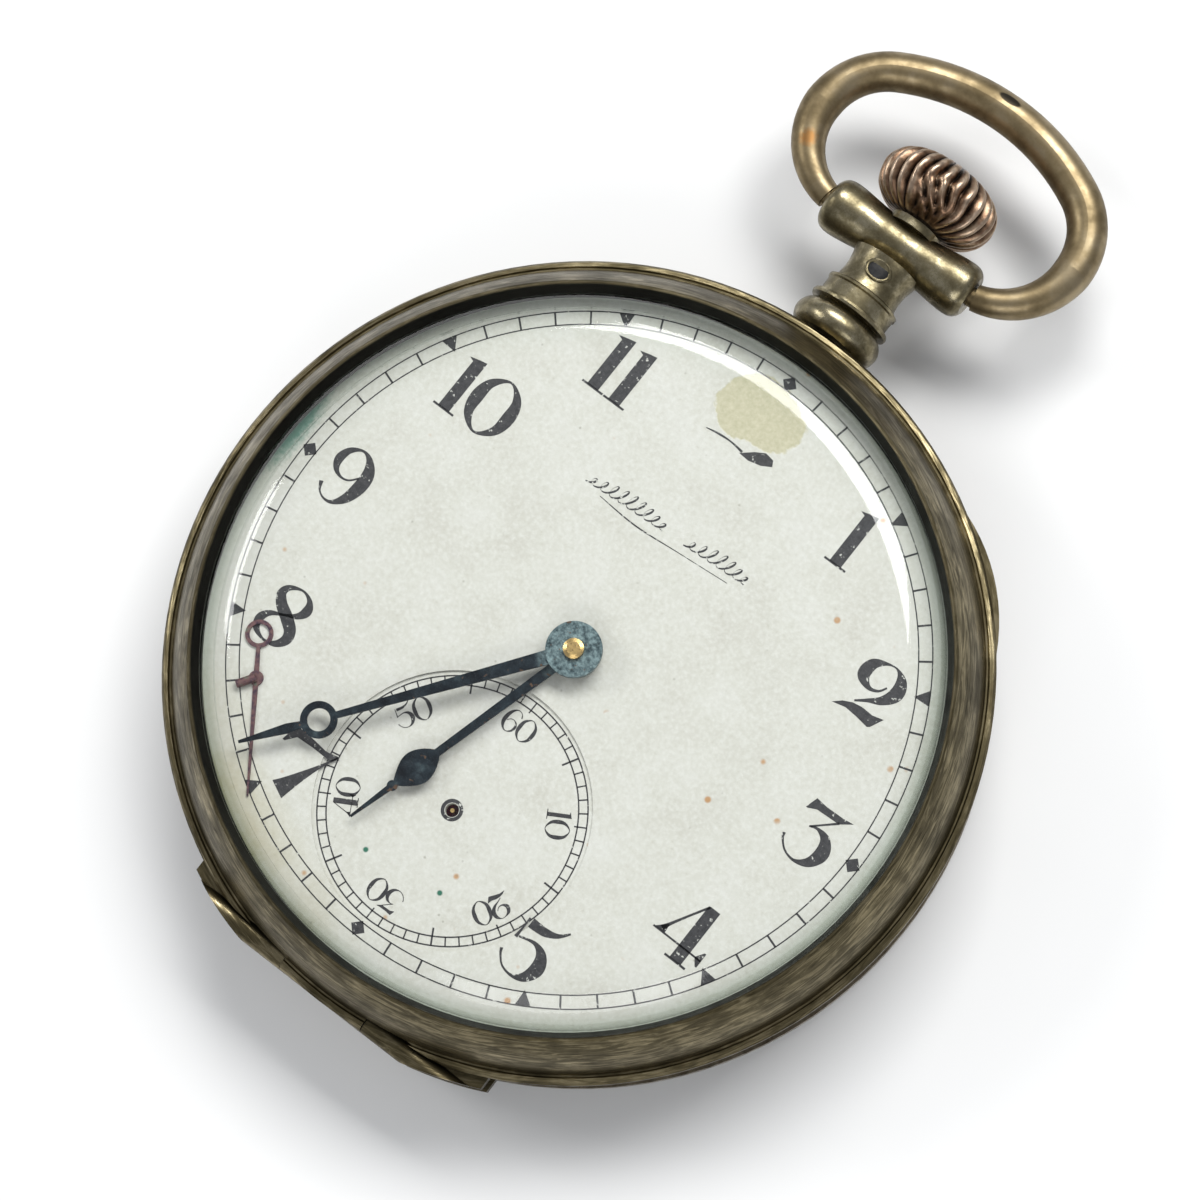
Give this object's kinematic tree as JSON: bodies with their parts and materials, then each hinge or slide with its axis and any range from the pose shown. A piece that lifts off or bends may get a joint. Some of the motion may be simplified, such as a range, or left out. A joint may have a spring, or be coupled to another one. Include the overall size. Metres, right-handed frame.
{
  "type": "pocket watch",
  "caption": "Open-face stem-wound pocket watch with hinged bezel, back and dust cover, ribbed crown, swinging bow and a full lever movement.",
  "frame": {"origin": "centre of the flat middle of the back cover, on its outer face", "axes": "+Z out of the dial, +Y to the pendant and 12 o'clock, +X to 3 o'clock"},
  "size_m": [0.05, 0.0696, 0.013],
  "materials": {
    "tarnished_silver": "worn and tarnished silver",
    "pendant_silver": "worn and tarnished silver",
    "bow_brass": "smooth, silver worn through to brassy metal",
    "crown_copper": "ribbed, brown",
    "glass": "clear",
    "enamel": "fired white enamel with printed figures",
    "blued_steel": "blued",
    "gilt": "gilt",
    "nickel": "striped",
    "steel": "polished",
    "ruby": "clear red"
  },
  "bodies": {
    "case": {"case_middle": "tarnished_silver", "pendant": "pendant_silver", "pendant_sleeve": "pendant_silver", "bezel_hinge_pin": "steel", "back_hinge_pin": "steel", "dial": "enamel", "seconds_hand": "blued_steel", "main_plate": "nickel", "barrel_bridge": "nickel", "train_bridge": "nickel", "balance_cock": "nickel", "pallet_cock": "nickel", "plate_jewels": "ruby", "bridge_jewels": "ruby", "balance_cap_jewel": "ruby", "bridge_screws": "blued_steel", "case_screws": "blued_steel", "dial_screws": "steel", "crown_wheel_screw": "steel", "banking_pins": "steel", "click_spring": "steel", "hairspring": "blued_steel", "hairspring_stud": "steel", "setting_spring": "steel"},
    "bezel": {"bezel": "tarnished_silver", "crystal": "glass"},
    "back": {"back_cover": "tarnished_silver"},
    "cuvette": {"cuvette": "tarnished_silver"},
    "bow": {"bow": "bow_brass"},
    "winding_pinion": {"winding_pinion": "steel"},
    "crown": {"crown": "crown_copper", "winding_stem": "steel"},
    "clutch": {"clutch_wheel": "steel"},
    "crown_wheel": {"crown_wheel": "steel"},
    "ratchet": {"ratchet_wheel": "steel", "barrel_arbor": "steel", "ratchet_screw": "steel"},
    "click": {"click": "steel"},
    "setting_lever": {"setting_lever": "steel"},
    "yoke": {"yoke": "steel"},
    "barrel": {"mainspring_barrel": "gilt", "barrel_cover": "gilt", "mainspring": "steel"},
    "centre_wheel": {"centre_wheel": "gilt"},
    "third_wheel": {"third_wheel": "gilt"},
    "fourth_wheel": {"fourth_wheel": "gilt"},
    "escape_wheel": {"escape_wheel": "steel"},
    "pallet_fork": {"pallet_fork": "steel"},
    "balance": {"balance_wheel": "gilt", "balance_staff": "steel"},
    "regulator": {"regulator": "steel"},
    "minute": {"minute_hand": "blued_steel", "cannon_pinion": "gilt"},
    "minute_wheel": {"minute_wheel": "gilt"},
    "hour": {"hour_hand": "blued_steel", "hour_wheel": "gilt"},
    "setting_wheel": {"setting_wheel": "steel"}
  },
  "joints": [
    {"name": "bezel_open", "type": "hinge", "parent": "case", "child": "bezel", "pos_m": [0, -0.0243, 0.007], "axis": [1, 0, 0], "range_deg": [0, 92]},
    {"name": "back_open", "type": "hinge", "parent": "case", "child": "back", "pos_m": [0, -0.0243, 0.0034], "axis": [-1, 0, 0], "range_deg": [0, 95]},
    {"name": "cuvette_open", "type": "hinge", "parent": "case", "child": "cuvette", "pos_m": [0, -0.0243, 0.0034], "axis": [-1, 0, 0], "range_deg": [0, 80]},
    {"name": "bow_swing", "type": "hinge", "parent": "case", "child": "bow", "pos_m": [0, 0.0326, 0.0055], "axis": [1, 0, 0], "range_deg": [-95, 95]},
    {"name": "crown_turn", "type": "hinge", "parent": "case", "child": "winding_pinion", "pos_m": [0, 0.0165, 0.0055], "axis": [0, 1, 0], "continuous": true},
    {"name": "crown_pull", "type": "slide", "parent": "winding_pinion", "child": "crown", "axis": [0, 1, 0], "range_m": [0, 0.0008]},
    {"name": "clutch_slide", "type": "slide", "parent": "winding_pinion", "child": "clutch", "axis": [0, -1, 0], "range_m": [0, 0.00056]},
    {"name": "crown_wheel_turn", "type": "hinge", "parent": "case", "child": "crown_wheel", "pos_m": [0, 0.0134, 0.0028], "axis": [0, 0, 1], "continuous": true},
    {"name": "ratchet_turn", "type": "hinge", "parent": "case", "child": "ratchet", "pos_m": [0.00515, 0.00665, 0.0028], "axis": [0, 0, 1], "continuous": true},
    {"name": "click_lift", "type": "hinge", "parent": "case", "child": "click", "pos_m": [0.012, 0.0099, 0.0028], "axis": [0, 0, 1], "range_deg": [-10, 0]},
    {"name": "setting_lever_turn", "type": "hinge", "parent": "case", "child": "setting_lever", "pos_m": [0.0044, 0.0192, 0.0076], "axis": [0, 0, 1], "range_deg": [-13, 0]},
    {"name": "yoke_turn", "type": "hinge", "parent": "case", "child": "yoke", "pos_m": [0.0046, 0.0148, 0.0076], "axis": [0, 0, 1], "range_deg": [0, 10]},
    {"name": "fourth_turn", "type": "hinge", "parent": "case", "child": "fourth_wheel", "pos_m": [-0.00023, -0.0114, 0.0057], "axis": [0, 0, 1], "continuous": true},
    {"name": "third_turn", "type": "hinge", "parent": "case", "child": "third_wheel", "pos_m": [-0.00428, -0.00594, 0.0048], "axis": [0, 0, 1], "continuous": true},
    {"name": "centre_turn", "type": "hinge", "parent": "case", "child": "centre_wheel", "pos_m": [0, 0.0004, 0.0042], "axis": [0, 0, 1], "continuous": true},
    {"name": "barrel_turn", "type": "hinge", "parent": "case", "child": "barrel", "pos_m": [0.00515, 0.00665, 0.005], "axis": [0, 0, 1], "continuous": true},
    {"name": "escape_turn", "type": "hinge", "parent": "case", "child": "escape_wheel", "pos_m": [0.00526, -0.01171, 0.0051], "axis": [0, 0, 1], "continuous": true},
    {"name": "pallet_rock", "type": "hinge", "parent": "case", "child": "pallet_fork", "pos_m": [0.00748, -0.01046, 0.0051], "axis": [0, 0, 1], "range_deg": [-5, 5]},
    {"name": "balance_swing", "type": "hinge", "parent": "case", "child": "balance", "pos_m": [0.0104, -0.0088, 0.0036], "axis": [0, 0, 1], "range_deg": [-300, 300]},
    {"name": "regulator_turn", "type": "hinge", "parent": "case", "child": "regulator", "pos_m": [0.0104, -0.0088, 0.0017], "axis": [0, 0, 1], "range_deg": [-20, 20]},
    {"name": "minute_turn", "type": "hinge", "parent": "case", "child": "minute", "pos_m": [0, 0.0004, 0.01], "axis": [0, 0, 1], "continuous": true},
    {"name": "minute_wheel_turn", "type": "hinge", "parent": "case", "child": "minute_wheel", "pos_m": [-0.001, 0.0051, 0.0076], "axis": [0, 0, 1], "continuous": true},
    {"name": "hour_turn", "type": "hinge", "parent": "case", "child": "hour", "pos_m": [0, 0.0004, 0.009], "axis": [0, 0, 1], "continuous": true},
    {"name": "setting_wheel_turn", "type": "hinge", "parent": "case", "child": "setting_wheel", "pos_m": [-0.00061, 0.01068, 0.0076], "axis": [0, 0, 1], "continuous": true}
  ],
  "couplings": [
    {"joint": "cuvette_open", "follows": "back_open", "ratio": 0.8},
    {"joint": "clutch_slide", "follows": "crown_pull", "ratio": 0.7},
    {"joint": "setting_lever_turn", "follows": "crown_pull", "rad_per_m": -250},
    {"joint": "yoke_turn", "follows": "crown_pull", "rad_per_m": 194.44},
    {"joint": "crown_wheel_turn", "follows": "crown_turn", "ratio": 0.71429},
    {"joint": "ratchet_turn", "follows": "crown_turn", "ratio": -0.45455},
    {"joint": "third_turn", "follows": "fourth_turn", "ratio": -0.13333},
    {"joint": "centre_turn", "follows": "fourth_turn", "ratio": 0.016667},
    {"joint": "barrel_turn", "follows": "fourth_turn", "ratio": -0.0020833},
    {"joint": "escape_turn", "follows": "fourth_turn", "ratio": -10},
    {"joint": "minute_wheel_turn", "follows": "minute_turn", "ratio": -0.33333},
    {"joint": "hour_turn", "follows": "minute_turn", "ratio": 0.083333},
    {"joint": "setting_wheel_turn", "follows": "minute_turn", "ratio": 0.6}
  ]
}
